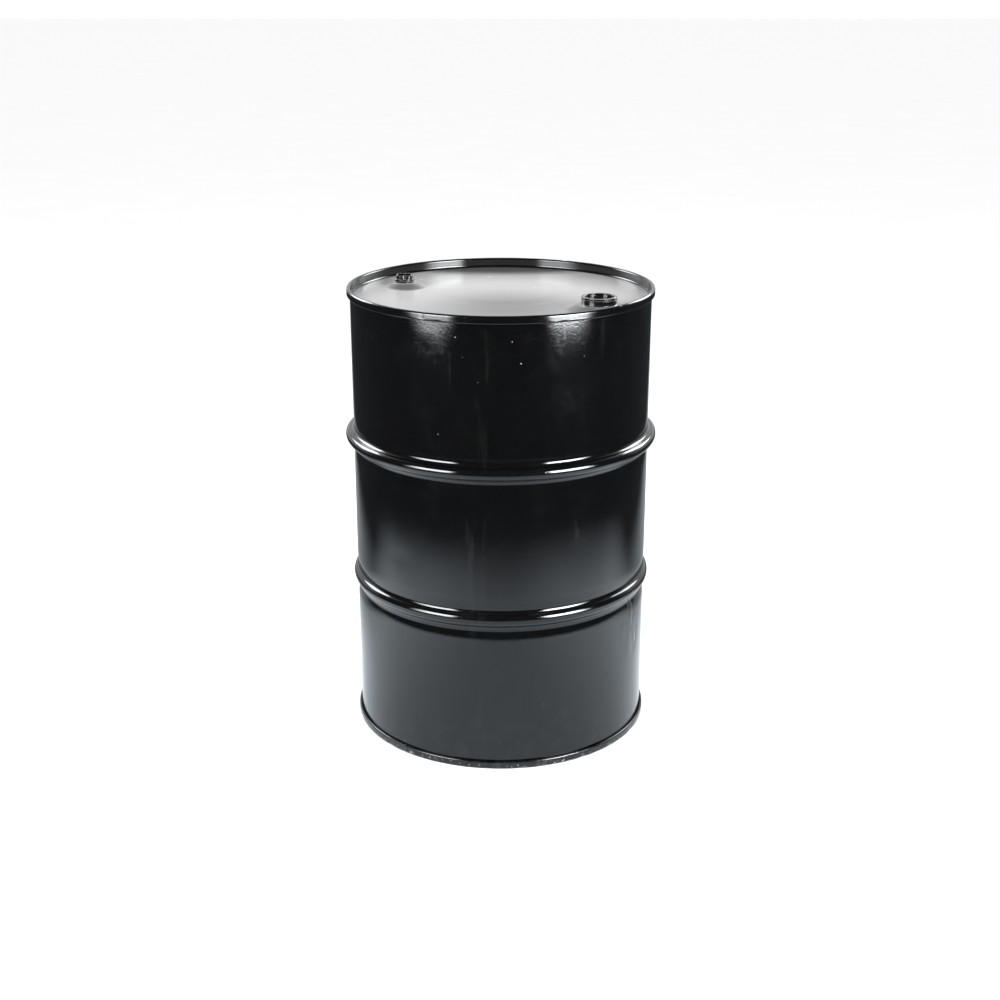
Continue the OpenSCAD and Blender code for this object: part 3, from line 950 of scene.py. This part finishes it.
# The fittings' worn steel on up-facing faces and round the large plug's cup wall is partly painted
# light.
fitting_paint = enamel("fitting_enamel", 0.16, bare_and_lit_tops=0.3, rubbed_and_lit=[(large_c, 25.2)])
compound = soft_material("seam_compound", (0.20, 0.24, 0.19, 1), (0.33, 0.38, 0.30, 1), 120, 0.7)
rubber = soft_material("ring_rubber", (0.012, 0.012, 0.012, 1), (0.03, 0.03, 0.03, 1), 300, 0.6)

# ---------------------------------------------------------------- the pieces

body_shell()
top_head()
bottom_head()
flange("flange_large", "large_flange", large_c, large_neck_r, large_lip_z, large_top_r, large_slope_w,
       large_bore_thread, large_pitch)
flange("flange_small", "small_flange", small_c, small_neck_r, small_lip_z, small_top_r, small_slope_w,
       small_bore_thread, small_pitch)
large_plug()
small_plug()
for node, material in (("top_seam_compound", compound), ("bottom_seam_compound", compound),
                       ("large_flange_gasket", rubber), ("small_flange_gasket", rubber),
                       ("large_plug_gasket", rubber), ("small_plug_gasket", rubber)):
    data = frame["nodes"][node].data
    data.materials.clear()
    data.materials.append(material)

# ---------------------------------------------------------------- stage, in metres


def emitter(name, paint):
    """A material that only glows, as bright as the given function of its nodes says."""
    mat = bpy.data.materials.new(name)
    mat.use_nodes = True
    n = Nodes(mat.node_tree)
    n.tree.nodes.clear()
    glow = n.add("ShaderNodeEmission")
    n.add("ShaderNodeOutputMaterial", {"Surface": glow.outputs[0]})
    paint(n, glow)
    return mat


def card(name, corners, material, seen):
    """A flat four-sided sheet, seen only by the kinds of ray that are named."""
    mesh = bpy.data.meshes.new(name)
    mesh.from_pydata(corners, [], [tuple(range(len(corners)))])
    uv = mesh.uv_layers.new(name="across")
    for loop, place in zip(uv.data, ((0, 0), (1, 0), (1, 1), (0, 1))):
        loop.uv = place
    mesh.materials.append(material)
    obj = bpy.data.objects.new(name, mesh)
    bpy.context.scene.collection.objects.link(obj)
    obj.visible_camera = "camera" in seen
    obj.visible_glossy = "glossy" in seen
    obj.visible_diffuse = "diffuse" in seen
    obj.visible_shadow = "shadow" in seen
    obj.visible_transmission = False
    obj.visible_volume_scatter = False


def floor_glow(n, glow):
    """How bright the paper and the dark studio floor round it look in the paint."""
    place = n.parts(n.add("ShaderNodeTexCoord").outputs["Object"])
    x, y = n.math("ABSOLUTE", place["X"]), place["Y"]
    reach = n.math("POWER", n.plus(n.times(x, x), n.times(y, y)), 0.5)
    ahead = n.times(n.ramp(reach, 0.98, 1.62, 1.0, 0.0), n.ramp(x, 0.1, 0.95, 1.12, 1.9))
    behind = n.times(n.ramp(x, 0.85, 1.28, 1.0, 0.0), n.ramp(reach, 0.35, 0.95, 1.5, 0.45))
    turn = n.ramp(y, -0.15, 0.45)
    paper = n.plus(n.times(ahead, n.less(turn)), n.times(behind, turn))
    n.link(glow.inputs["Strength"], n.plus(0.05, paper))
    n.link(glow.inputs["Color"], (0.90, 0.99, 1.06, 1))


def box_glow(strength):
    """A softbox that fades out at its foot and both sides, and is brighter above."""
    def paint(n, glow):
        place = n.parts(n.add("ShaderNodeTexCoord").outputs["UV"])
        x, y = place["X"], place["Y"]
        edge = n.times(n.ramp(x, 0.0, 0.45), n.ramp(x, 0.80, 1.0, 1.0, 0.0))
        rise = n.times(n.ramp(y, 0.0, 0.03), n.ramp(y, 0.03, 0.40, 1.0, 1.7))
        n.link(glow.inputs["Strength"], n.times(n.times(edge, rise), strength))
        n.link(glow.inputs["Color"], (0.95, 0.98, 1.0, 1))
    return paint


def upright(name, first, last, low, high, strength, distance=2.3):
    """A softbox seen only in the paint, standing from one azimuth to another."""
    foot = [(distance * math.cos(azimuth(a)), distance * math.sin(azimuth(a))) for a in (first, last)]
    corners = [(*foot[0], low), (*foot[1], low), (*foot[1], high), (*foot[0], high)]
    card(name, corners, emitter(name + "_glow", box_glow(strength)), ("glossy",))


def square(half, z):
    return [(-half, -half, z), (half, -half, z), (half, half, z), (-half, half, z)]


def pale_floor():
    s = Shade("pale_floor")
    tone = s.mix(s.ramp(s.noise(2.5, 2, 0.5), 0.3, 0.7), (0.86, 0.86, 0.86, 1), (0.87, 0.87, 0.87, 1))
    return s.finish(Base_Color=tone, Roughness=0.9)


card("floor", square(60.0, 0), pale_floor(), ("camera", "diffuse", "shadow"))
card("floor_seen_in_paint", square(9, -0.0005), emitter("floor_glow", floor_glow), ("glossy",))
upright("softbox_left", -70, -30, 0.43, 1.75, 15.0)
upright("softbox_right", 69, 30, 0.425, 1.75, 32.0)
upright("softbox_back_left", -150, -112, 1.25, 2.3, 10.0)
upright("softbox_back_right", 112, 150, 1.25, 2.3, 10.0)


def area(name, location, target, size, power):
    """A square lamp that no reflection or camera sees."""
    data = bpy.data.lights.new(name, "AREA")
    data.shape = "RECTANGLE"
    data.size = data.size_y = size
    data.energy = power
    obj = bpy.data.objects.new(name, data)
    obj.location = location
    obj.rotation_euler = (Vector(target) - Vector(location)).to_track_quat("-Z", "Y").to_euler()
    obj.visible_glossy = False
    obj.visible_camera = False
    bpy.context.scene.collection.objects.link(obj)


area("key_left", (-2.0, -1.5, 1.9), (0, 0, 0.5), 1.4, 60)
area("key_right", (2.0, -1.5, 1.9), (0, 0, 0.5), 1.4, 70)
area("top_light", (0, 0.4, 3.2), (0, 0, 0), 2.2, 60)


def world():
    """White all round, except that the paint reflects a dark studio with a pale backdrop behind."""
    w = bpy.data.worlds.new("studio")
    bpy.context.scene.world = w
    w.use_nodes = True
    n = Nodes(w.node_tree)
    n.tree.nodes.clear()
    way = n.parts(n.add("ShaderNodeTexCoord").outputs["Generated"])
    backdrop = n.times(n.ramp(way["Y"], 0.15, 0.55), n.ramp(way["Z"], 0.60, 0.90, 1.0, 0.30))
    seen_in_paint = n.plus(0.05, n.times(backdrop, 0.85))
    glossy = n.add("ShaderNodeLightPath").outputs["Is Glossy Ray"]
    total = n.plus(n.times(n.less(glossy), 1.15), n.times(glossy, seen_in_paint))
    back = n.add("ShaderNodeBackground", {"Color": (1, 1, 1, 1), "Strength": total})
    n.add("ShaderNodeOutputWorld", {"Surface": back.outputs[0]})


world()

# ---------------------------------------------------------------- camera

cam_data = bpy.data.cameras.new("camera")
cam = bpy.data.objects.new("camera", cam_data)
bpy.context.scene.collection.objects.link(cam)
cam.location = (0, -2.84026, 1.4207)
cam.rotation_mode = "XYZ"
look_down = 0.3318
cam.rotation_euler = (math.pi / 2 - look_down, 0, 0)
cam_data.sensor_width = 36
cam_data.lens = 1.50644 * cam_data.sensor_width
cam_data.shift_x = -0.0008
bpy.context.scene.camera = cam
bpy.context.scene.view_settings.view_transform = "Standard"
